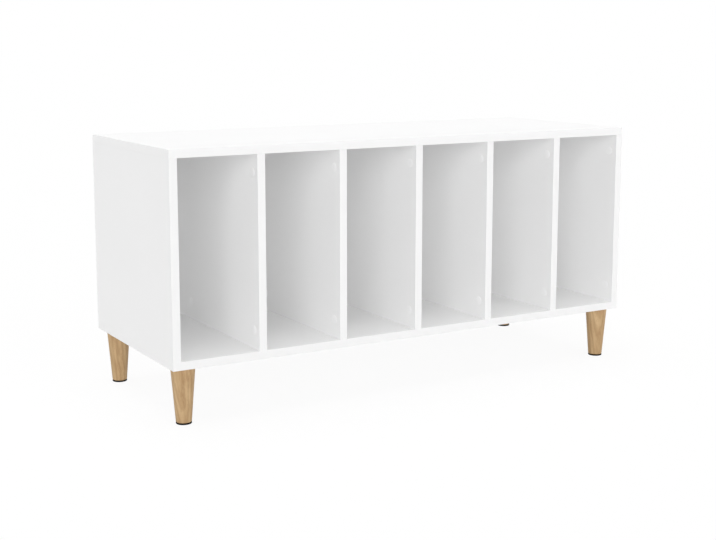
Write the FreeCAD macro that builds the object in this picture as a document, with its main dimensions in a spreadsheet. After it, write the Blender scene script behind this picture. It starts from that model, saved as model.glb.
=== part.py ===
import FreeCAD, Part
import os
import Sketcher

# A record cabinet of white-faced board: a row of open bays for record sleeves on four tapered wooden legs.
# X runs along its length, Y from its front to its back and Z up.
# The origin is on the floor, under the middle of the cabinet.

# Driving dimensions, in millimetres
SIZES = {
    # Carcass of boards
    "width": 1000,
    "depth": 380,
    "carcass_height": 380,
    "board": 15,
    "bay_count": 6,
    "edge_round": 0.5,
    # Back panel in its grooves: the inset is from the back edges of the boards
    "back_thickness": 3,
    "back_inset": 10,
    "groove_depth": 6,
    "groove_play": 0.2,
    # Board left behind the bores: in the uprights behind a cam, and in the top and bottom panels
    "cam_web": 2.5,
    "panel_web": 4,
    "fit_play": 0.15,
    # Cam locks: the reach is from the end of an upright, the setbacks from its front and from the back panel
    "cam_diameter": 15,
    "cam_reach": 34,
    "cam_front_setback": 21,
    "cam_back_setback": 65,
    "drive_slot_length": 9,
    "drive_slot_width": 1.6,
    "drive_slot_depth": 1.4,
    # Connecting bolts, from their heads in the cams to their threaded ends in the panels
    "bolt_head_diameter": 7,
    "bolt_head_height": 3,
    "bolt_neck_diameter": 4,
    "bolt_shank_diameter": 7,
    "bolt_thread_diameter": 5,
    # Caps over the cams
    "cap_overlap": 1,
    "cap_thickness": 1,
    "cap_taper": 0.5,
    # Dowels, each set in from a cam
    "dowel_diameter": 8,
    "dowel_length": 30,
    "dowel_edge": 1,
    "dowel_setback": 32,
    # Legs with their bolts, insert nuts and glides: the inset is from the ends and edges of the carcass
    "leg_length": 100,
    "leg_top_diameter": 44,
    "leg_foot_diameter": 28,
    "leg_foot_edge": 1,
    "leg_inset": 30,
    "hanger_diameter": 8,
    "hanger_in_leg": 32,
    "hanger_point": 4,
    "insert_wall": 2,
    "glide_thickness": 3,
    "glide_edge": 0.8,
}

# Places that follow from the driving dimensions, as expressions
CARCASS_FLOOR = "(Sizes.glide_thickness + Sizes.leg_length)"
MID_HEIGHT = f"({CARCASS_FLOOR} + Sizes.carcass_height / 2)"
FRONT_EDGE = "(-Sizes.depth / 2)"
CAM_ROW = f"({FRONT_EDGE} + Sizes.cam_front_setback)"
DOWEL_ROW = f"({CAM_ROW} + Sizes.dowel_setback)"
LEG_SPREAD_X = "(Sizes.width / 2 - Sizes.leg_inset)"
LEG_SPREAD_Y = "(Sizes.depth / 2 - Sizes.leg_inset)"

# Sizes that follow: the uprights are the side panels and the dividers, and UPRIGHT_END is half their height
UPRIGHT_HEIGHT = "(Sizes.carcass_height - 2 * Sizes.board)"
UPRIGHT_END = f"({UPRIGHT_HEIGHT} / 2)"
UPRIGHT_SPAN = "(Sizes.width - Sizes.board)"
UPRIGHT_COUNT = "(Sizes.bay_count + 1)"
BAY_ROW = "(Sizes.width - 2 * Sizes.board)"
BACK_FACE = "(Sizes.depth - Sizes.back_inset - Sizes.back_thickness)"
DIVIDER_DEPTH = f"({BACK_FACE} - Sizes.groove_play)"
GROOVE_WIDTH = "(Sizes.back_thickness + 2 * Sizes.groove_play)"
BACK_IN_GROOVE = "(Sizes.groove_depth - Sizes.groove_play)"
PANEL_BORE_DEPTH = "(Sizes.board - Sizes.panel_web)"
CAM_BORE_DEPTH = "(Sizes.board - Sizes.cam_web)"
CAM_RADIUS = "(Sizes.cam_diameter / 2)"
CAM_RISE = f"({UPRIGHT_END} - Sizes.cam_reach)"
CAM_SPACING = f"({BACK_FACE} - Sizes.cam_front_setback - Sizes.cam_back_setback)"
HEAD_SEAT = f"({CAM_RISE} - Sizes.bolt_head_height)"
DOWEL_SPACING = f"({CAM_SPACING} - 2 * Sizes.dowel_setback)"
DOWEL_IN_UPRIGHT = f"(Sizes.dowel_length - {PANEL_BORE_DEPTH} + Sizes.fit_play)"

AHEAD_X = FreeCAD.Rotation(FreeCAD.Vector(0, 1, 0), 90)
AHEAD_Z = FreeCAD.Rotation()

doc = FreeCAD.newDocument("RecordCabinet")
sub_parts = []


def make_sheet():
    """Put the driving dimensions into a spreadsheet under their own names."""
    sheet = doc.addObject("Spreadsheet::Sheet", "Sizes")
    for row, (name, value) in enumerate(SIZES.items(), start=1):
        sheet.set(f"A{row}", name)
        sheet.set(f"B{row}", str(value))
        sheet.setAlias(f"B{row}", name)
    doc.recompute()


def evaluate(expression):
    """Work out an expression over the sheet."""
    return float(doc.getObject("Sizes").evalExpression(expression))


def bind(thing, **expressions):
    """Tie properties of a document object to expressions over the sheet."""
    for name, expression in expressions.items():
        thing.setExpression(name, expression)


def put(thing, x, y, z):
    """Tie the position of a document object to expressions over the sheet."""
    thing.setExpression("Placement.Base.x", x)
    thing.setExpression("Placement.Base.y", y)
    thing.setExpression("Placement.Base.z", z)


def new_body(label, x, y, z):
    """Start a sub-part whose own origin stands at the given place in the cabinet."""
    body = doc.addObject("PartDesign::Body", label)
    body.Label = label
    put(body, x, y, z)
    sub_parts.append(body)
    return body


def datum(body, role):
    """Find one of a body's own origin planes or axes."""
    return next(item for item in body.Origin.OriginFeatures if item.Role == role)


def pin(sketch, kind, line, value, expression):
    """Hold the start of a sketched line at a distance from the sketch's origin."""
    index = sketch.addConstraint(Sketcher.Constraint(kind, -1, 1, line, 1, value))
    sketch.setExpression(f"Constraints[{index}]", expression)


def outline(body, name, role, points):
    """Sketch a closed outline of straight lines through points given as pairs of expressions."""
    sketch = body.newObject("Sketcher::SketchObject", name)
    sketch.AttachmentSupport = [(datum(body, role), "")]
    sketch.MapMode = "FlatFace"
    corners = [[evaluate(value) for value in point] for point in points]
    for start, end in zip(corners, corners[1:] + corners[:1]):
        sketch.addGeometry(Part.LineSegment(FreeCAD.Vector(*start), FreeCAD.Vector(*end)))
    for line in range(len(points)):
        sketch.addConstraint(Sketcher.Constraint("Coincident", line, 2, (line + 1) % len(points), 1))
    for line, (across, up) in enumerate(points):
        pin(sketch, "DistanceX", line, corners[line][0], across)
        pin(sketch, "DistanceY", line, corners[line][1], up)
    return sketch


def rectangle(body, role, left, right, bottom, top):
    """Sketch the rectangular face of a board."""
    return outline(body, "face", role, [(left, bottom), (right, bottom), (right, top), (left, top)])


def pad(body, sketch, thickness, side="One side", downwards=False):
    """Raise a sketched face into a board."""
    feature = body.newObject("PartDesign::Pad", "slab")
    feature.Profile = sketch
    feature.SideType = side
    feature.Reversed = downwards
    bind(feature, Length=thickness)
    return feature


def revolve(body, name, points):
    """Turn an outline, given as radius and height, about the body's own Z axis."""
    sketch = outline(body, name + "_profile", "XZ_Plane", points)
    feature = body.newObject("PartDesign::Revolution", name)
    feature.Profile = sketch
    feature.ReferenceAxis = (sketch, ["V_Axis"])


def round_edges(body, board, chosen):
    """Round the edges of a board that carry its edge band."""
    doc.recompute()
    names = [f"Edge{number}" for number, edge in enumerate(board.Shape.Edges, start=1) if chosen(edge)]
    feature = body.newObject("PartDesign::Fillet", "edge_band")
    feature.Base = (board, names)
    bind(feature, Radius="Sizes.edge_round")


def stands_upright(edge):
    """Tell whether a straight edge runs along Z."""
    run = edge.Vertexes[-1].Point - edge.Vertexes[0].Point
    return run.isParallel(FreeCAD.Vector(0, 0, 1), 1e-6)


def primitive(body, kind, name, place, ahead=AHEAD_Z, **sizes):
    """Add or cut a simple solid whose own Z axis points ahead from its place."""
    feature = body.newObject("PartDesign::" + kind, name)
    feature.Placement = FreeCAD.Placement(FreeCAD.Vector(), ahead)
    put(feature, *place)
    bind(feature, **sizes)
    return feature


def bore(body, name, place, diameter, depth, ahead=AHEAD_Z):
    """Cut a round bore that takes a fitting of the given diameter with play."""
    radius = f"{diameter} / 2 + Sizes.fit_play"
    return primitive(body, "SubtractiveCylinder", name, place, ahead, Radius=radius, Height=depth)


def repeat(body, name, feature, rows, columns):
    """Repeat a feature along two axes, each given as axis, whether backwards, length and count."""
    pattern = body.newObject("PartDesign::LinearPattern", name)
    pattern.Originals = [feature]
    row_axis, pattern.Reversed, row_length, row_count = rows
    column_axis, pattern.Reversed2, column_length, column_count = columns
    pattern.Direction = (datum(body, row_axis), [""])
    pattern.Direction2 = (datum(body, column_axis), [""])
    bind(pattern, Length=row_length, Occurrences=row_count)
    bind(pattern, Length2=column_length, Occurrences2=column_count)
    body.Tip = pattern


def repeat_fitting(body, spacing):
    """Repeat a fitting at the back of its upright, and then both at the upright's lower end."""
    doc.recompute()
    pattern = body.newObject("PartDesign::LinearPattern", "front_and_back")
    pattern.TransformMode = "Whole shape"
    pattern.Direction = (datum(body, "Y_Axis"), [""])
    pattern.Occurrences = 2
    bind(pattern, Length=spacing)
    body.Tip = pattern
    doc.recompute()
    mirror = body.newObject("PartDesign::Mirrored", "top_and_bottom")
    mirror.TransformMode = "Whole shape"
    mirror.MirrorPlane = (datum(body, "XY_Plane"), [""])
    body.Tip = mirror


def make_long_board(label, joint_height, is_top):
    """Make the top or bottom panel. Its own Z is zero on the face that meets the uprights."""
    body = new_body(label, "0", FRONT_EDGE, joint_height)
    sketch = rectangle(body, "XY_Plane", "-Sizes.width / 2", "Sizes.width / 2", "0", "Sizes.depth")
    slab = pad(body, sketch, "Sizes.board", downwards=not is_top)
    round_edges(body, slab, lambda edge: True)
    groove_length = f"({BAY_ROW} + 2 * Sizes.groove_depth)"
    groove_floor = "0" if is_top else "-Sizes.groove_depth"
    primitive(
        body, "SubtractiveBox", "back_groove",
        (f"-{groove_length} / 2", f"{BACK_FACE} - Sizes.groove_play", groove_floor),
        Length=groove_length, Width=GROOVE_WIDTH, Height="Sizes.groove_depth",
    )
    bore_floor = "0" if is_top else f"-{PANEL_BORE_DEPTH}"
    last_upright = f"{UPRIGHT_SPAN} / 2"
    bores = {
        "bolt": ("Sizes.bolt_thread_diameter", "Sizes.cam_front_setback", CAM_SPACING),
        "dowel": ("Sizes.dowel_diameter", "Sizes.cam_front_setback + Sizes.dowel_setback", DOWEL_SPACING),
    }
    for name, (diameter, setback, spacing) in bores.items():
        first = bore(body, name + "_bore", (last_upright, setback, bore_floor), diameter, PANEL_BORE_DEPTH)
        uprights = ("X_Axis", True, UPRIGHT_SPAN, UPRIGHT_COUNT)
        repeat(body, name + "_bores", first, uprights, ("Y_Axis", False, spacing, "2"))
    return body


def make_insert_bores(body):
    """Bore the bottom panel from below for the nuts that hold the legs."""
    diameter = "(Sizes.hanger_diameter + 2 * Sizes.insert_wall)"
    first = bore(
        body, "insert_bore", (LEG_SPREAD_X, "Sizes.leg_inset", "-Sizes.board"), diameter, PANEL_BORE_DEPTH,
    )
    ends = ("X_Axis", True, f"2 * {LEG_SPREAD_X}", "2")
    repeat(body, "insert_bores", first, ends, ("Y_Axis", False, f"2 * {LEG_SPREAD_Y}", "2"))


def make_upright(label, x, depth, faces_right, is_side):
    """Make a side panel or divider. Its own Z is zero at half its height, and its Y at the front edge.

    The cams go into its left face, or into its right face where it faces right.
    """
    body = new_body(label, x, FRONT_EDGE, MID_HEIGHT)
    sketch = rectangle(body, "YZ_Plane", "0", depth, f"-{UPRIGHT_END}", UPRIGHT_END)
    slab = pad(body, sketch, "Sizes.board", side="Symmetric")
    round_edges(body, slab, stands_upright)
    left_face = "-Sizes.board / 2"
    right_face = "Sizes.board / 2"
    if is_side:
        groove_start = f"{right_face} - Sizes.groove_depth" if faces_right else left_face
        primitive(
            body, "SubtractiveBox", "back_groove",
            (groove_start, f"{BACK_FACE} - Sizes.groove_play", f"-{UPRIGHT_END}"),
            Length="Sizes.groove_depth", Width=GROOVE_WIDTH, Height=UPRIGHT_HEIGHT,
        )
    cam_start = f"{right_face} - {CAM_BORE_DEPTH}" if faces_right else left_face
    cam_bore = primitive(
        body, "SubtractiveCylinder", "cam_bore", (cam_start, "Sizes.cam_front_setback", CAM_RISE), AHEAD_X,
        Radius=CAM_RADIUS, Height=CAM_BORE_DEPTH,
    )
    back_row = ("Y_Axis", False, CAM_SPACING, "2")
    repeat(body, "cam_bores", cam_bore, back_row, ("Z_Axis", True, f"2 * {CAM_RISE}", "2"))
    bores = {
        "bolt": ("Sizes.bolt_shank_diameter", "Sizes.cam_front_setback", "Sizes.cam_reach", CAM_SPACING),
        "dowel": (
            "Sizes.dowel_diameter", "Sizes.cam_front_setback + Sizes.dowel_setback",
            f"({DOWEL_IN_UPRIGHT} + Sizes.fit_play)", DOWEL_SPACING,
        ),
    }
    for name, (diameter, setback, bore_depth, spacing) in bores.items():
        place = ("0", setback, f"{UPRIGHT_END} - {bore_depth}")
        first = bore(body, name + "_bore", place, diameter, bore_depth)
        lower_end = ("Z_Axis", True, f"{UPRIGHT_HEIGHT} - {bore_depth}", "2")
        repeat(body, name + "_bores", first, ("Y_Axis", False, spacing, "2"), lower_end)


def make_back_panel():
    """Make the thin sheet that slides into the grooves. Its own origin is at its middle."""
    middle = f"{FRONT_EDGE} + {BACK_FACE} + Sizes.back_thickness / 2"
    body = new_body("back_panel", "0", middle, MID_HEIGHT)
    half_width = f"({BAY_ROW} / 2 + {BACK_IN_GROOVE})"
    half_height = f"({UPRIGHT_END} + {BACK_IN_GROOVE})"
    sketch = rectangle(body, "XZ_Plane", f"-{half_width}", half_width, f"-{half_height}", half_height)
    pad(body, sketch, "Sizes.back_thickness", side="Symmetric")


def make_cam_locks(label, x, faces_right):
    """Make an upright's cams: discs with a hooked pocket for the bolt's head and a slot for a driver."""
    body = new_body(label, x, CAM_ROW, MID_HEIGHT)
    height = f"({CAM_BORE_DEPTH} - 2 * Sizes.fit_play)"
    face = "(Sizes.board / 2 - Sizes.fit_play)"
    floor = f"({face} - {height})"
    primitive(
        body, "AdditiveCylinder", "disc", (floor if faces_right else f"-{face}", "0", CAM_RISE), AHEAD_X,
        Radius=f"{CAM_RADIUS} - Sizes.fit_play", Height=height,
    )
    pockets = {
        "head_pocket": ("Sizes.bolt_head_diameter", HEAD_SEAT, "Sizes.bolt_head_height"),
        "neck_slot": ("Sizes.bolt_neck_diameter", CAM_RISE, CAM_RADIUS),
    }
    for name, (across, low, high) in pockets.items():
        half = f"({across} / 2 + Sizes.fit_play)"
        primitive(
            body, "SubtractiveBox", name, (floor if faces_right else f"-{half}", f"-{half}", low),
            Length=f"{half} - {floor}", Width=f"2 * {half}", Height=high,
        )
    slot_floor = f"{face} - Sizes.drive_slot_depth" if faces_right else f"-{face}"
    primitive(
        body, "SubtractiveBox", "drive_slot",
        (slot_floor, "-Sizes.drive_slot_width / 2", f"{CAM_RISE} - Sizes.drive_slot_length / 2"),
        Length="Sizes.drive_slot_depth", Width="Sizes.drive_slot_width", Height="Sizes.drive_slot_length",
    )
    repeat_fitting(body, CAM_SPACING)


def make_connecting_bolts(label, x):
    """Make an upright's bolts: head and neck in the cam, shank in the upright, threaded end in the panel."""
    body = new_body(label, x, CAM_ROW, MID_HEIGHT)
    head = "Sizes.bolt_head_diameter / 2"
    neck = "Sizes.bolt_neck_diameter / 2"
    shank = "Sizes.bolt_shank_diameter / 2"
    thread = "Sizes.bolt_thread_diameter / 2"
    head_start = f"{HEAD_SEAT} + Sizes.fit_play"
    neck_start = f"{CAM_RISE} - Sizes.fit_play"
    shank_start = f"{CAM_RISE} + {CAM_RADIUS}"
    thread_end = f"{UPRIGHT_END} + {PANEL_BORE_DEPTH} - Sizes.fit_play"
    revolve(body, "bolt", [
        ("0", head_start),
        (head, head_start),
        (head, neck_start),
        (neck, neck_start),
        (neck, shank_start),
        (shank, shank_start),
        (shank, UPRIGHT_END),
        (thread, UPRIGHT_END),
        (thread, thread_end),
        ("0", thread_end),
    ])
    repeat_fitting(body, CAM_SPACING)


def make_cover_caps(label, x, faces_right):
    """Make the flat caps that hide an upright's cams."""
    body = new_body(label, x, CAM_ROW, MID_HEIGHT)
    rim = f"({CAM_RADIUS} + Sizes.cap_overlap)"
    crown = f"({rim} - Sizes.cap_taper)"
    start = "Sizes.board / 2" if faces_right else "-Sizes.board / 2 - Sizes.cap_thickness"
    primitive(
        body, "AdditiveCone", "cap", (start, "0", CAM_RISE), AHEAD_X,
        Radius1=rim if faces_right else crown,
        Radius2=crown if faces_right else rim,
        Height="Sizes.cap_thickness",
    )
    repeat_fitting(body, CAM_SPACING)


def make_dowels(label, x):
    """Make the wooden dowels that line an upright up with the panels."""
    body = new_body(label, x, DOWEL_ROW, MID_HEIGHT)
    radius = "Sizes.dowel_diameter / 2"
    low = f"({UPRIGHT_END} - {DOWEL_IN_UPRIGHT})"
    high = f"({low} + Sizes.dowel_length)"
    revolve(body, "dowel", [
        ("0", low),
        (f"{radius} - Sizes.dowel_edge", low),
        (radius, f"{low} + Sizes.dowel_edge"),
        (radius, f"{high} - Sizes.dowel_edge"),
        (f"{radius} - Sizes.dowel_edge", high),
        ("0", high),
    ])
    repeat_fitting(body, DOWEL_SPACING)


def make_leg_set(corner, x, y):
    """Make one leg with its floor glide, hanger bolt and insert nut, all about the leg's own axis."""
    foot = "Sizes.leg_foot_diameter / 2"
    glide = new_body("glide_" + corner, x, y, "0")
    revolve(glide, "disc", [
        ("0", "0"),
        (f"{foot} - Sizes.glide_edge", "0"),
        (foot, "Sizes.glide_edge"),
        (foot, "Sizes.glide_thickness"),
        ("0", "Sizes.glide_thickness"),
    ])
    leg = new_body("leg_" + corner, x, y, "Sizes.glide_thickness")
    revolve(leg, "taper", [
        ("0", "0"),
        (f"{foot} - Sizes.leg_foot_edge", "0"),
        (foot, "Sizes.leg_foot_edge"),
        ("Sizes.leg_top_diameter / 2", "Sizes.leg_length"),
        ("0", "Sizes.leg_length"),
    ])
    bore_depth = "(Sizes.hanger_in_leg + Sizes.fit_play)"
    bore_place = ("0", "0", f"Sizes.leg_length - {bore_depth}")
    bore(leg, "hanger_bore", bore_place, "Sizes.hanger_diameter", bore_depth)
    hanger = new_body("hanger_bolt_" + corner, x, y, f"{CARCASS_FLOOR} - Sizes.hanger_in_leg")
    shank = "Sizes.hanger_diameter / 2"
    hanger_top = f"Sizes.hanger_in_leg + {PANEL_BORE_DEPTH} - Sizes.fit_play"
    revolve(hanger, "shank", [
        ("0", "0"),
        (shank, "Sizes.hanger_point"),
        (shank, hanger_top),
        ("0", hanger_top),
    ])
    insert = new_body("insert_nut_" + corner, x, y, CARCASS_FLOOR)
    inner = f"{shank} + Sizes.fit_play"
    outer = f"{shank} + Sizes.insert_wall"
    insert_top = f"{PANEL_BORE_DEPTH} - Sizes.fit_play"
    revolve(insert, "sleeve", [
        (inner, "0"),
        (outer, "0"),
        (outer, insert_top),
        (inner, insert_top),
    ])


def make_cabinet():
    """Make every sub-part in place."""
    make_sheet()
    make_long_board("top_panel", f"{CARCASS_FLOOR} + Sizes.carcass_height - Sizes.board", is_top=True)
    bottom = make_long_board("bottom_panel", f"{CARCASS_FLOOR} + Sizes.board", is_top=False)
    make_insert_bores(bottom)
    make_back_panel()
    last = SIZES["bay_count"]
    for number in range(last + 1):
        is_side = number in (0, last)
        name = {0: "left_side_panel", last: "right_side_panel"}.get(number, f"divider_{number}")
        x = f"({number} / Sizes.bay_count - 0.5) * {UPRIGHT_SPAN}"
        faces_right = number == 0
        make_upright(name, x, "Sizes.depth" if is_side else DIVIDER_DEPTH, faces_right, is_side)
        make_cam_locks("cam_locks_" + name, x, faces_right)
        make_connecting_bolts("connecting_bolts_" + name, x)
        make_cover_caps("cover_caps_" + name, x, faces_right)
        make_dowels("dowels_" + name, x)
    for end, x in (("left", f"-{LEG_SPREAD_X}"), ("right", LEG_SPREAD_X)):
        for side, y in (("front", f"-{LEG_SPREAD_Y}"), ("back", LEG_SPREAD_Y)):
            make_leg_set(f"{side}_{end}", x, y)
    doc.recompute()


def check_cabinet():
    """Stop if any object failed or any sub-part has no valid solid."""
    for item in doc.Objects:
        if "Invalid" in item.State or "Error" in item.State:
            raise RuntimeError(f"{item.Label} failed")
    for body in sub_parts:
        if body.Shape.isNull() or not body.Shape.isValid() or not body.Shape.Solids:
            raise RuntimeError(f"{body.Label} has no valid solid")


def write_cabinet():
    """Write each sub-part to a file of its own name."""
    os.makedirs("parts", exist_ok=True)
    for body in sub_parts:
        body.Shape.exportStep(f"parts/{body.Label}.step")
        print(f"{body.Label}: {len(body.Shape.Solids)} solids, {body.Shape.Volume:.0f} cubic millimetres")


make_cabinet()
check_cabinet()
write_cabinet()
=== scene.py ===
import math

import bmesh
import bpy
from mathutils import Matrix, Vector


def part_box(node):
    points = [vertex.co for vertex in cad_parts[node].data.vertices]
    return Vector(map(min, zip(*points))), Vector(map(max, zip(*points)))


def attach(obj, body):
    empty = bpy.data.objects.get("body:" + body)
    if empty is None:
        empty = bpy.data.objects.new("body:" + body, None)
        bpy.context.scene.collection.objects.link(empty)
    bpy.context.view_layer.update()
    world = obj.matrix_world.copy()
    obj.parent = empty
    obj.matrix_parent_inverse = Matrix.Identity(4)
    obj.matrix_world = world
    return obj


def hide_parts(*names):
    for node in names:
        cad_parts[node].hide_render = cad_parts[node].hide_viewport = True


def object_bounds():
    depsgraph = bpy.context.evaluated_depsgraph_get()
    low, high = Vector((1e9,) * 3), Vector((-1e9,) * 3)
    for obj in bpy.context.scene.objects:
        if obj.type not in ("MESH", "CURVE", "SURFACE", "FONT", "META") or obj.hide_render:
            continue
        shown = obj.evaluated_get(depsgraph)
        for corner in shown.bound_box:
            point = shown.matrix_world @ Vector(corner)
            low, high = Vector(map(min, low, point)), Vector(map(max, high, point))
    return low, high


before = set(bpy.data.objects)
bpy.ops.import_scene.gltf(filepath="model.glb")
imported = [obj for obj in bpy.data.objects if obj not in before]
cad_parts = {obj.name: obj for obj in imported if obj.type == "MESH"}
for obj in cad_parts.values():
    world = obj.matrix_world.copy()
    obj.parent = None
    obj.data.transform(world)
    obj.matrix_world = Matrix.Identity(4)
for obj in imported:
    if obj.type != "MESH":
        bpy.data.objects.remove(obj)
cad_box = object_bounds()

# A record cabinet of white-faced boards on four tapered wooden legs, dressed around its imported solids.
# X runs along its length, Y from its front to its back and Z up. Places and the floor are in metres.
# Patterns, roundings and insets are in millimetres.

MM = 0.001
QUARTER_TURN = math.radians(90)

FRONT_FACE = cad_box[0].y
BACK_FACE = cad_box[1].y
RIGHT_END = cad_box[1].x
FLOOR = cad_box[0].z

LONG_BOARDS = ("top_panel", "bottom_panel")
DIVIDERS = tuple(f"divider_{count}" for count in range(1, 6))
UPRIGHTS = ("left_side_panel", *DIVIDERS, "right_side_panel")
CORNERS = ("front_left", "back_left", "front_right", "back_right")

# The viewpoint, fitted to the straight edges of the carcass in an image of 716 x 540 pixels: metres, degrees
# and a lens in mm on a 36 mm sensor. The small downward shift keeps the uprights close to upright.
CAMERA_PLACE = (-1.2965, -2.1481, 0.6719)
CAMERA_TURN = 30.71
CAMERA_DROP = 8.67
CAMERA_LENS = 63.42
CAMERA_SHIFT = -0.06

# Soft lamps: name and strength, then spread, elevation and bearing in degrees. A bearing of 0 is straight in
# front of the cabinet, and a positive one is to its left.
LAMPS = (
    ("overhead_lamp", 1.25, 50, 90, 0),
    ("front_lamp", 1.90, 52, 5, 31),
    ("right_lamp", 0.47, 50, 5, -40),
    ("rear_lamp", 0.35, 50, 60, 120),
)
# The white studio, as light on the cabinet and as what is seen
STUDIO_WHITE = "#ffffff"
STUDIO_LIGHT = 0.4
STUDIO_SEEN = 1.0
# White boards pass light on many times before the bays are as light as real ones.
LIGHT_BOUNCES = 12

# The floor is matt, and most of what is seen of it is a plain white of its own. The rest shows the shadow.
FLOOR_SIZE = 80
FLOOR_MATT = "#e6e6e6"
FLOOR_WHITE_SHARE = 0.9
FLOOR_WHITE_STRENGTH = 1.022

# Cover cap: its rim takes a share of its height, and its crown rises in rings, each set in and lifted
CAP_SIDES = 48
CAP_RIM_SHARE = 0.55
CAP_RIM_ROUND = 0.4
CAP_RINGS = ((1.0, 0.13), (1.4, 0.13), (1.8, 0.11), (2.0, 0.06))

# Floor pad: the rounding of its two rims
PAD_SIDES = 64
PAD_TOP_ROUND = 0.5
PAD_FOOT_ROUND = 0.8

ROUND_STEPS = 3
SMOOTH_ANGLE = math.radians(40)
# Heights no further apart than this are the same, and a face is level if its normal rises more than that.
NEAR = 0.01
LEVEL = 0.99

# Wood: where the tree's pith stood from the middle of each leg, the width of a ring, and how rings lean.
# The rings of the legs are drawn about twice as wide as broad ones in real beech, so that they show.
LEG_PITHS = ((-22, -30), (-34, -14), (-14, -38), (26, 28))
LEG_RING = 7.5
LEG_LEAN = math.radians(7)
DOWEL_PITH = (-20, -12)
DOWEL_RING = 2.2


# Helpers

def linear(hex_colour):
    """An sRGB hex colour as the linear colour that a shader takes."""
    channels = [int(hex_colour[i:i + 2], 16) / 255 for i in (1, 3, 5)]
    return [c / 12.92 if c <= 0.04045 else ((c + 0.055) / 1.055) ** 2.4 for c in channels] + [1.0]


def per_metre(size_mm):
    """The texture scale that gives one cell of a pattern for each size_mm."""
    return 1 / (size_mm * MM)


def add(tree, kind, inputs=None, links=None, **settings):
    """Adds one node to a tree, with its settings, its fixed inputs and the outputs linked to its inputs."""
    node = tree.nodes.new(kind)
    for key, value in settings.items():
        setattr(node, key, value)
    for key, value in (inputs or {}).items():
        node.inputs[key].default_value = value
    for key, output in (links or {}).items():
        tree.links.new(output, node.inputs[key])
    return node


def new_material(name, **fixed):
    """A new material with its shader, the shader's fixed inputs, and the Object coordinates for patterns.

    In the name of an input, an underscore stands for a space.
    """
    material = bpy.data.materials.new(name)
    material.use_nodes = True
    tree = material.node_tree
    shader = tree.nodes["Principled BSDF"]
    for key, value in fixed.items():
        shader.inputs[key.replace("_", " ")].default_value = value
    place = add(tree, "ShaderNodeTexCoord").outputs["Object"]
    return material, tree, shader, place


def connect(tree, shader, colour, roughness, relief=None):
    """Links a finished pattern to the shader."""
    tree.links.new(colour.outputs["Result"], shader.inputs["Base Color"])
    tree.links.new(roughness.outputs[0], shader.inputs["Roughness"])
    if relief:
        tree.links.new(relief.outputs["Normal"], shader.inputs["Normal"])


# Materials

def white_melamine(name, banded_ends):
    """Chipboard faced with white melamine, its edges covered with plastic bands.

    The facing is pressed against a finely grained plate, so it is an even, satin white whose grain only
    softens the highlights. The bands in front and behind are smoother and painted a touch darker, a painted
    shade that makes the front edges look less lit than the top; those at the ends match the facing, and a
    hairline shows where a band meets it. The grain is drawn about three times as coarse as a real one, so
    that it shows.
    """
    facing_dark = linear("#f6f6f6")
    facing_light = linear("#fafafa")
    # Painted shade: the front and back bands are a touch darker than the facing, so that the front edges
    # look less lit than the top.
    band_painted_shade = linear("#f4f4f4")
    hairline_grey = linear("#dedede")
    band_width = 1.0
    band_polish = 0.06
    hairline = 0.3
    cloud = 160.0
    cloud_layers = 2.0
    grain = 1.4
    grain_layers = 3.0
    grain_depth = 0.06
    grain_strength = 0.35
    satin_low = 0.38
    satin_high = 0.48
    middle = (FRONT_FACE + BACK_FACE) / 2
    half_depth = (BACK_FACE - FRONT_FACE) / 2
    material, tree, shader, place = new_material(name, IOR=1.5)
    axes = add(tree, "ShaderNodeSeparateXYZ", links={"Vector": place})
    from_middle = add(tree, "ShaderNodeMath", {1: middle}, {0: axes.outputs["Y"]}, operation="SUBTRACT")
    either_way = add(tree, "ShaderNodeMath", links={0: from_middle.outputs[0]}, operation="ABSOLUTE")
    to_edge = add(tree, "ShaderNodeMath", {0: half_depth}, {1: either_way.outputs[0]}, operation="SUBTRACT")
    on_band = add(tree, "ShaderNodeMath", {1: band_width * MM}, {0: to_edge.outputs[0]},
                  operation="LESS_THAN")
    if banded_ends:
        along = add(tree, "ShaderNodeMath", links={0: axes.outputs["X"]}, operation="ABSOLUTE")
        to_end = add(tree, "ShaderNodeMath", {0: RIGHT_END}, {1: along.outputs[0]}, operation="SUBTRACT")
        to_edge = add(tree, "ShaderNodeMath", links={0: to_edge.outputs[0], 1: to_end.outputs[0]},
                      operation="MINIMUM")
    on_line = add(tree, "ShaderNodeMath", {1: band_width * MM, 2: hairline / 2 * MM},
                  {0: to_edge.outputs[0]}, operation="COMPARE")
    clouds = add(tree, "ShaderNodeTexNoise", {"Scale": per_metre(cloud), "Detail": cloud_layers},
                 {"Vector": place})
    facing = add(tree, "ShaderNodeMix", {"A": facing_dark, "B": facing_light},
                 {"Factor": clouds.outputs["Fac"]}, data_type="RGBA")
    # Lays the painted shade of the bands over the facing, on the front and back bands only.
    banded = add(tree, "ShaderNodeMix", {"B": band_painted_shade},
                 {"Factor": on_band.outputs[0], "A": facing.outputs["Result"]}, data_type="RGBA")
    lined = add(tree, "ShaderNodeMix", {"B": hairline_grey},
                {"Factor": on_line.outputs[0], "A": banded.outputs["Result"]}, data_type="RGBA")
    grains = add(tree, "ShaderNodeTexNoise", {"Scale": per_metre(grain), "Detail": grain_layers},
                 {"Vector": place})
    satin = add(tree, "ShaderNodeMapRange", {"To Min": satin_low, "To Max": satin_high},
                {"Value": grains.outputs["Fac"]})
    smoother = add(tree, "ShaderNodeMath", {1: -band_polish},
                   {0: on_band.outputs[0], 2: satin.outputs["Result"]}, operation="MULTIPLY_ADD")
    relief = add(tree, "ShaderNodeBump", {"Strength": grain_strength, "Distance": grain_depth * MM},
                 {"Height": grains.outputs["Fac"]})
    connect(tree, shader, lined, smoother, relief)
    return material


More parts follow.
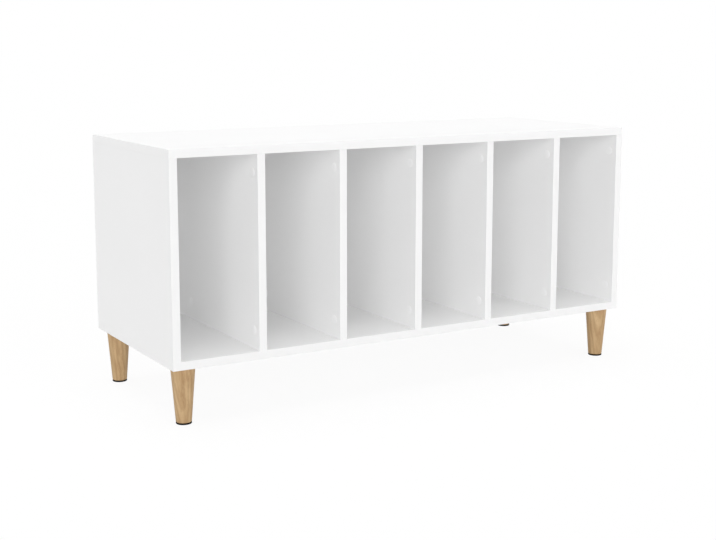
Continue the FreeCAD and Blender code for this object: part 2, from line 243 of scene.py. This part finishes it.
def white_faced_hardboard(name):
    """Thin hardboard, lacquered white on its inner face and left raw behind.

    The raw face is a dull brown felt of wood fibres, mottled, with paler strands that lie every way and dark
    specks. The strands are drawn about three times as coarse as real ones, so that they show.
    """
    lacquer_white = linear("#fcfcfc")
    lacquer_satin = 0.42
    raw_dark = linear("#946f47")
    raw_light = linear("#a98358")
    raw_dull = 0.78
    strand_pale = linear("#ba956a")
    strand_ways = (12, 58, 103, 149)
    strand = 0.9
    strand_stretch = 6.0
    strand_layers = 2.0
    strand_low, strand_high = 0.55, 0.85
    strand_depth = 0.1
    strand_strength = 0.25
    mottle = 60.0
    mottle_layers = 6.0
    mottle_crispness = 0.68
    mottle_low, mottle_high = 0.2, 0.8
    speck_dark = linear("#715234")
    speck = 0.9
    speck_layers = 1.0
    speck_low, speck_high = 0.66, 0.74
    low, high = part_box("back_panel")
    material, tree, shader, place = new_material(name, IOR=1.5)
    axes = add(tree, "ShaderNodeSeparateXYZ", links={"Vector": place})
    raw = add(tree, "ShaderNodeMath", {1: (low.y + high.y) / 2}, {0: axes.outputs["Y"]},
              operation="GREATER_THAN")
    felt = None
    for way in strand_ways:
        along = add(tree, "ShaderNodeMapping",
                    {"Rotation": (0, math.radians(way), 0), "Scale": (strand_stretch, 1, 1)},
                    {"Vector": place}, vector_type="TEXTURE")
        layer = add(tree, "ShaderNodeTexNoise", {"Scale": per_metre(strand), "Detail": strand_layers},
                    {"Vector": along.outputs[0]}).outputs["Fac"]
        if felt:
            layer = add(tree, "ShaderNodeMath", links={0: felt, 1: layer}, operation="MAXIMUM").outputs[0]
        felt = layer
    strands = add(tree, "ShaderNodeMapRange", {"From Min": strand_low, "From Max": strand_high},
                  {"Value": felt})
    mottles = add(tree, "ShaderNodeTexNoise",
                  {"Scale": per_metre(mottle), "Detail": mottle_layers, "Roughness": mottle_crispness},
                  {"Vector": place})
    patches = add(tree, "ShaderNodeMapRange", {"From Min": mottle_low, "From Max": mottle_high},
                  {"Value": mottles.outputs["Fac"]})
    specks = add(tree, "ShaderNodeTexNoise", {"Scale": per_metre(speck), "Detail": speck_layers},
                 {"Vector": place})
    dark = add(tree, "ShaderNodeMapRange", {"From Min": speck_low, "From Max": speck_high},
               {"Value": specks.outputs["Fac"]})
    brown = add(tree, "ShaderNodeMix", {"A": raw_dark, "B": raw_light},
                {"Factor": patches.outputs["Result"]}, data_type="RGBA")
    stranded = add(tree, "ShaderNodeMix", {"B": strand_pale},
                   {"Factor": strands.outputs["Result"], "A": brown.outputs["Result"]}, data_type="RGBA")
    specked = add(tree, "ShaderNodeMix", {"B": speck_dark},
                  {"Factor": dark.outputs["Result"], "A": stranded.outputs["Result"]}, data_type="RGBA")
    colour = add(tree, "ShaderNodeMix", {"A": lacquer_white},
                 {"Factor": raw.outputs[0], "B": specked.outputs["Result"]}, data_type="RGBA")
    dull = add(tree, "ShaderNodeMapRange", {"To Min": lacquer_satin, "To Max": raw_dull},
               {"Value": raw.outputs[0]})
    height = add(tree, "ShaderNodeMath", links={0: strands.outputs["Result"], 1: raw.outputs[0]},
                 operation="MULTIPLY")
    relief = add(tree, "ShaderNodeBump", {"Strength": strand_strength, "Distance": strand_depth * MM},
                 {"Height": height.outputs[0]})
    connect(tree, shader, colour, dull, relief)
    return material


def turned_beech(name, middle, pith, ring, lean):
    """Beech turned along its grain, matt, as clear lacquer or the bare wood leaves it.

    The growth rings stand round a pith outside the piece, leaning a little, so that the turning cuts them
    into long wavy tongues. Fine fibres and short darker flecks run along the grain between them. Fibres and
    flecks are drawn a few times as coarse as real ones, so that they show. A stretch below 1 is how slowly a
    pattern changes along the grain.
    """
    ground_dark = linear("#9c764c")
    ground_light = linear("#e1c397")
    drift = 13.0
    drift_layers = 2.0
    ring_brown = linear("#a47f56")
    ring_stretch = 0.32
    ring_wander = 8.0
    ring_layers = 2.0
    ring_wander_scale = 0.7
    ring_low, ring_high, ring_share = 0.25, 1.0, 0.48
    fibre_pale = linear("#d5ba91")
    fibre = 1.8
    fibre_stretch = 0.035
    fibre_layers = 3.0
    fibre_low, fibre_high, fibre_share = 0.45, 0.75, 0.35
    fibre_depth = 0.08
    fibre_strength = 0.2
    fleck_dark = linear("#97734e")
    fleck = 1.3
    fleck_stretch = 0.22
    fleck_layers = 1.0
    fleck_low, fleck_high, fleck_share = 0.62, 0.74, 0.35
    matt_low = 0.52
    matt_high = 0.68
    material, tree, shader, place = new_material(name, IOR=1.42)
    offset = (-middle.x - pith[0] * MM, -middle.y - pith[1] * MM, 0)
    log = add(tree, "ShaderNodeMapping", {"Location": offset, "Rotation": (lean, lean / 2, 0)},
              {"Vector": place})
    for_rings, for_fibres, for_flecks = (
        add(tree, "ShaderNodeMapping", {"Scale": (1, 1, stretch)}, {"Vector": log.outputs[0]}).outputs[0]
        for stretch in (ring_stretch, fibre_stretch, fleck_stretch)
    )
    # At a scale of 1, the rings of a wave texture stand 2 pi / 20 apart.
    ring_scale = 2 * math.pi / 20 * per_metre(ring)
    rings = add(tree, "ShaderNodeTexWave",
                {"Scale": ring_scale, "Distortion": ring_wander, "Detail": ring_layers,
                 "Detail Scale": ring_wander_scale},
                {"Vector": for_rings}, wave_type="RINGS", rings_direction="Z", wave_profile="SIN")
    fibres = add(tree, "ShaderNodeTexNoise", {"Scale": per_metre(fibre), "Detail": fibre_layers},
                 {"Vector": for_fibres})
    drifts = add(tree, "ShaderNodeTexNoise", {"Scale": per_metre(drift), "Detail": drift_layers},
                 {"Vector": for_flecks})
    flecks = add(tree, "ShaderNodeTexNoise", {"Scale": per_metre(fleck), "Detail": fleck_layers},
                 {"Vector": for_flecks})
    late = add(tree, "ShaderNodeMapRange",
               {"From Min": ring_low, "From Max": ring_high, "To Max": ring_share},
               {"Value": rings.outputs["Fac"]})
    pale = add(tree, "ShaderNodeMapRange",
               {"From Min": fibre_low, "From Max": fibre_high, "To Max": fibre_share},
               {"Value": fibres.outputs["Fac"]})
    dark = add(tree, "ShaderNodeMapRange",
               {"From Min": fleck_low, "From Max": fleck_high, "To Max": fleck_share},
               {"Value": flecks.outputs["Fac"]})
    ground = add(tree, "ShaderNodeMix", {"A": ground_dark, "B": ground_light},
                 {"Factor": drifts.outputs["Fac"]}, data_type="RGBA")
    ringed = add(tree, "ShaderNodeMix", {"B": ring_brown},
                 {"Factor": late.outputs["Result"], "A": ground.outputs["Result"]}, data_type="RGBA")
    fibred = add(tree, "ShaderNodeMix", {"B": fibre_pale},
                 {"Factor": pale.outputs["Result"], "A": ringed.outputs["Result"]}, data_type="RGBA")
    flecked = add(tree, "ShaderNodeMix", {"B": fleck_dark},
                  {"Factor": dark.outputs["Result"], "A": fibred.outputs["Result"]}, data_type="RGBA")
    matt = add(tree, "ShaderNodeMapRange", {"To Min": matt_low, "To Max": matt_high},
               {"Value": fibres.outputs["Fac"]})
    relief = add(tree, "ShaderNodeBump", {"Strength": fibre_strength, "Distance": fibre_depth * MM},
                 {"Height": fibres.outputs["Fac"]})
    connect(tree, shader, flecked, matt, relief)
    return material


def moulded_plastic(name, dark, light, satin, shine):
    """Plastic moulded in a spark-eroded tool: one colour all through, with a fine, even, pebbled sheen.

    The pebbles are drawn about ten times as coarse as real ones, so that they show.
    """
    pebble = 0.9
    pebble_layers = 2.0
    pebble_depth = 0.04
    pebble_strength = 0.2
    sheen_range = 0.06
    material, tree, shader, place = new_material(name, IOR=1.49, Specular_IOR_Level=shine)
    pebbles = add(tree, "ShaderNodeTexNoise", {"Scale": per_metre(pebble), "Detail": pebble_layers},
                  {"Vector": place})
    colour = add(tree, "ShaderNodeMix", {"A": linear(dark), "B": linear(light)},
                 {"Factor": pebbles.outputs["Fac"]}, data_type="RGBA")
    sheen = add(tree, "ShaderNodeMapRange", {"To Min": satin - sheen_range, "To Max": satin + sheen_range},
                {"Value": pebbles.outputs["Fac"]})
    relief = add(tree, "ShaderNodeBump", {"Strength": pebble_strength, "Distance": pebble_depth * MM},
                 {"Height": pebbles.outputs["Fac"]})
    connect(tree, shader, colour, sheen, relief)
    return material


def bare_metal(name, dark, light, cloud, smooth, rough):
    """Zinc as it leaves the die, or steel plated bright with zinc: softly clouded, unevenly shiny grey."""
    cloud_layers = 4.0
    material, tree, shader, place = new_material(name, Metallic=1.0)
    clouds = add(tree, "ShaderNodeTexNoise", {"Scale": per_metre(cloud), "Detail": cloud_layers},
                 {"Vector": place})
    colour = add(tree, "ShaderNodeMix", {"A": linear(dark), "B": linear(light)},
                 {"Factor": clouds.outputs["Fac"]}, data_type="RGBA")
    shine = add(tree, "ShaderNodeMapRange", {"To Min": smooth, "To Max": rough},
                {"Value": clouds.outputs["Fac"]})
    connect(tree, shader, colour, shine)
    return material


# Pieces

def select_only(piece):
    """Makes a piece the only one that an operator acts on."""
    bpy.ops.object.select_all(action="DESELECT")
    piece.select_set(True)
    bpy.context.view_layer.objects.active = piece


def pick(piece, kind, wanted):
    """In edit mode, selects only the faces or edges that are wanted."""
    bpy.ops.mesh.select_mode(type=kind)
    bpy.ops.mesh.select_all(action="DESELECT")
    mesh = bmesh.from_edit_mesh(piece.data)
    for part in {"FACE": mesh.faces, "EDGE": mesh.edges}[kind]:
        if wanted(part):
            part.select_set(True)
    bmesh.update_edit_mesh(piece.data)


def round_rim(piece, height, size):
    """Rounds the edges that lie in the level plane at that height."""
    pick(piece, "EDGE", lambda edge: all(abs(end.co.z - height) < NEAR * MM for end in edge.verts))
    bpy.ops.mesh.bevel(offset=size * MM, segments=ROUND_STEPS, affect="EDGES")


def start_disc(sides, radius, height):
    """A round blank standing on the origin, in edit mode."""
    bpy.ops.object.select_all(action="DESELECT")
    middle = (0, 0, height / 2)
    bpy.ops.mesh.primitive_cylinder_add(vertices=sides, radius=radius, depth=height, location=middle)
    blank = bpy.context.object
    bpy.ops.object.transform_apply(location=True, rotation=True, scale=True)
    bpy.ops.object.mode_set(mode="EDIT")
    return blank


def end_piece(piece):
    """Leaves edit mode with the rounded faces smooth and the flat ones flat."""
    bpy.ops.object.mode_set(mode="OBJECT")
    select_only(piece)
    bpy.ops.object.shade_smooth_by_angle(angle=SMOOTH_ANGLE)
    return piece


def model_cap(radius, height):
    """A press-on cap, lying with its crown upwards: a rounded rim and a shallow crown in rings."""
    rim = height * CAP_RIM_SHARE
    cap = start_disc(CAP_SIDES, radius, rim)
    round_rim(cap, rim, CAP_RIM_ROUND)
    pick(cap, "FACE", lambda face: face.normal.z > LEVEL)
    for inset, rise in CAP_RINGS:
        bpy.ops.mesh.inset(thickness=inset * MM, depth=0)
        bpy.ops.transform.translate(value=(0, 0, rise * MM))
    return end_piece(cap)


def model_pad(radius, height):
    """A floor pad, standing on its foot: flat above and below, with both rims rounded."""
    pad = start_disc(PAD_SIDES, radius, height)
    round_rim(pad, height, PAD_TOP_ROUND)
    round_rim(pad, 0, PAD_FOOT_ROUND)
    return end_piece(pad)


def place_copy(pattern, place, turn=0):
    """A copy with its own mesh, turned about Y and put in place, with that place in its mesh."""
    select_only(pattern)
    bpy.ops.object.duplicate(linked=False)
    copy = bpy.context.object
    copy.rotation_euler = (0, turn, 0)
    copy.location = place
    bpy.ops.object.transform_apply(location=True, rotation=True, scale=True)
    return copy


def finish_piece(piece, name, material, node):
    """Names a piece, gives it its finish and sets it in the place of its CAD node."""
    piece.name = name
    piece.data.name = name
    piece.data.materials.append(material)
    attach(piece, "root")
    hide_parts(node)


def measure_cap(node):
    """The radius and height of one cap of a node, whose front pair of caps ends before the node's middle."""
    low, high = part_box(node)
    middle = (low + high) / 2
    reach = max(point.co.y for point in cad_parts[node].data.vertices if point.co.y < middle.y)
    return (reach - low.y) / 2, high.x - low.x


def add_caps(material):
    """Four caps on the inner face of each upright, over its cam locks."""
    radius, height = measure_cap("cover_caps_divider_1")
    pattern = model_cap(radius, height)
    for upright in UPRIGHTS:
        node = f"cover_caps_{upright}"
        low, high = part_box(node)
        faces_right = upright == "left_side_panel"
        seat = low.x if faces_right else high.x
        turn = QUARTER_TURN if faces_right else -QUARTER_TURN
        caps = [
            place_copy(pattern, (seat, y, z), turn)
            for y in (low.y + radius, high.y - radius)
            for z in (low.z + radius, high.z - radius)
        ]
        select_only(caps[0])
        for cap in caps:
            cap.select_set(True)
        bpy.ops.object.join()
        finish_piece(bpy.context.object, f"caps_{upright}", material, node)
    bpy.data.objects.remove(pattern)


def add_pads(material):
    """A pad under each leg."""
    low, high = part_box("glide_front_left")
    pattern = model_pad((high.x - low.x) / 2, high.z - low.z)
    for corner in CORNERS:
        node = f"glide_{corner}"
        low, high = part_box(node)
        pad = place_copy(pattern, ((low.x + high.x) / 2, (low.y + high.y) / 2, low.z))
        finish_piece(pad, f"pad_{corner}", material, node)
    bpy.data.objects.remove(pattern)


def dress(names, material):
    """Gives CAD nodes a finish."""
    for name in names:
        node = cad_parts[name]
        node.data.materials.clear()
        node.data.materials.append(material)


def dress_cabinet():
    """The finishes of the pieces that keep their CAD shape."""
    dress(LONG_BOARDS, white_melamine("White_melamine_banded_all_round", banded_ends=True))
    dress(UPRIGHTS, white_melamine("White_melamine_banded_front_and_back", banded_ends=False))
    dress(["back_panel"], white_faced_hardboard("White_faced_hardboard"))
    for corner, pith in zip(CORNERS, LEG_PITHS):
        low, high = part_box(f"leg_{corner}")
        wood = turned_beech(f"Lacquered_beech_{corner}", (low + high) / 2, pith, LEG_RING, LEG_LEAN)
        dress([f"leg_{corner}"], wood)
    dress([f"dowels_{upright}" for upright in UPRIGHTS],
          turned_beech("Bare_beech", Vector(), DOWEL_PITH, DOWEL_RING, lean=0))
    zinc = bare_metal("Die_cast_zinc", "#8f9296", "#b4b7ba", cloud=1.6, smooth=0.38, rough=0.55)
    dress([f"cam_locks_{upright}" for upright in UPRIGHTS], zinc)
    dress([f"insert_nut_{corner}" for corner in CORNERS], zinc)
    steel = bare_metal("Zinc_plated_steel", "#b0b4b8", "#cfd2d4", cloud=2.4, smooth=0.22, rough=0.36)
    dress([f"connecting_bolts_{upright}" for upright in UPRIGHTS], steel)
    dress([f"hanger_bolt_{corner}" for corner in CORNERS], steel)


# Stage

def seen_directly(tree):
    """1 for what the camera sees itself, in a reflection or through glass, and 0 for light on its way."""
    rays = add(tree, "ShaderNodeLightPath")
    seen = rays.outputs["Is Camera Ray"]
    for way in ("Is Glossy Ray", "Is Transmission Ray"):
        either = add(tree, "ShaderNodeMath", links={0: seen, 1: rays.outputs[way]}, operation="MAXIMUM")
        seen = either.outputs[0]
    return seen


def plain_floor():
    """A matt white studio floor.

    It looks plain white where it is lit, keeps the object's soft shadow, and lets the camera look up at the
    object from below.
    """
    material = bpy.data.materials.new("Matt_white_studio_floor")
    material.use_nodes = True
    tree = material.node_tree
    tree.nodes.clear()
    share = add(tree, "ShaderNodeMath", {1: FLOOR_WHITE_SHARE}, {0: seen_directly(tree)},
                operation="MULTIPLY")
    matt = add(tree, "ShaderNodeBsdfDiffuse", {"Color": linear(FLOOR_MATT)})
    white = add(tree, "ShaderNodeEmission",
                {"Color": linear(STUDIO_WHITE), "Strength": FLOOR_WHITE_STRENGTH})
    lit = add(tree, "ShaderNodeMixShader",
              links={0: share.outputs[0], 1: matt.outputs[0], 2: white.outputs[0]})
    rays = add(tree, "ShaderNodeLightPath")
    side = add(tree, "ShaderNodeNewGeometry")
    from_below = add(tree, "ShaderNodeMath", operation="MULTIPLY",
                     links={0: side.outputs["Backfacing"], 1: rays.outputs["Is Camera Ray"]})
    clear = add(tree, "ShaderNodeBsdfTransparent")
    surface = add(tree, "ShaderNodeMixShader",
                  links={0: from_below.outputs[0], 1: lit.outputs[0], 2: clear.outputs[0]})
    add(tree, "ShaderNodeOutputMaterial", links={"Surface": surface.outputs[0]})
    return material


def add_floor():
    """The floor that the cabinet stands on, wide enough to have no edge in view."""
    bpy.ops.object.select_all(action="DESELECT")
    bpy.ops.mesh.primitive_plane_add(size=FLOOR_SIZE, location=(0, 0, FLOOR))
    floor = bpy.context.object
    floor.name = "studio_floor"
    bpy.ops.object.transform_apply(location=True, rotation=True, scale=True)
    floor.data.materials.append(plain_floor())


def add_studio():
    """A white studio all round: soft light on the cabinet, and plain white where it is seen."""
    world = bpy.data.worlds.new("White_studio")
    world.use_nodes = True
    tree = world.node_tree
    tree.nodes.clear()
    soft = add(tree, "ShaderNodeBackground", {"Color": linear(STUDIO_WHITE), "Strength": STUDIO_LIGHT})
    white = add(tree, "ShaderNodeBackground", {"Color": linear(STUDIO_WHITE), "Strength": STUDIO_SEEN})
    mixed = add(tree, "ShaderNodeMixShader",
                links={0: seen_directly(tree), 1: soft.outputs[0], 2: white.outputs[0]})
    add(tree, "ShaderNodeOutputWorld", links={"Surface": mixed.outputs[0]})
    bpy.context.scene.world = world


def add_lamps():
    """Soft lamps above, in front, on the right and behind.

    Glossy surfaces reflect the plain studio and not the lamps, so pale boards seen against the light
    don't burn out.
    """
    for name, strength, spread, elevation, bearing in LAMPS:
        bpy.ops.object.light_add(type="SUN")
        lamp = bpy.context.object
        lamp.name = name
        lamp.data.energy = strength
        lamp.data.angle = math.radians(spread)
        lamp.visible_glossy = False
        lamp.rotation_euler = (QUARTER_TURN - math.radians(elevation), 0, math.radians(-bearing))
    bpy.context.scene.cycles.diffuse_bounces = LIGHT_BOUNCES


def add_camera():
    """The photograph's viewpoint, with colours shown as they are written."""
    scene = bpy.context.scene
    bpy.ops.object.camera_add(location=CAMERA_PLACE)
    camera = bpy.context.object
    camera.name = "camera"
    camera.rotation_euler = (QUARTER_TURN - math.radians(CAMERA_DROP), 0, math.radians(-CAMERA_TURN))
    camera.data.lens = CAMERA_LENS
    camera.data.shift_y = CAMERA_SHIFT
    scene.camera = camera
    scene.view_settings.view_transform = "Standard"


dress_cabinet()
add_caps(moulded_plastic("Moulded_white_polythene", "#fafafa", "#fdfdfd", satin=0.38, shine=0.5))
add_pads(moulded_plastic("Moulded_black_polypropylene", "#0c0c0d", "#151516", satin=0.7, shine=0.1))
add_floor()
add_studio()
add_lamps()
add_camera()
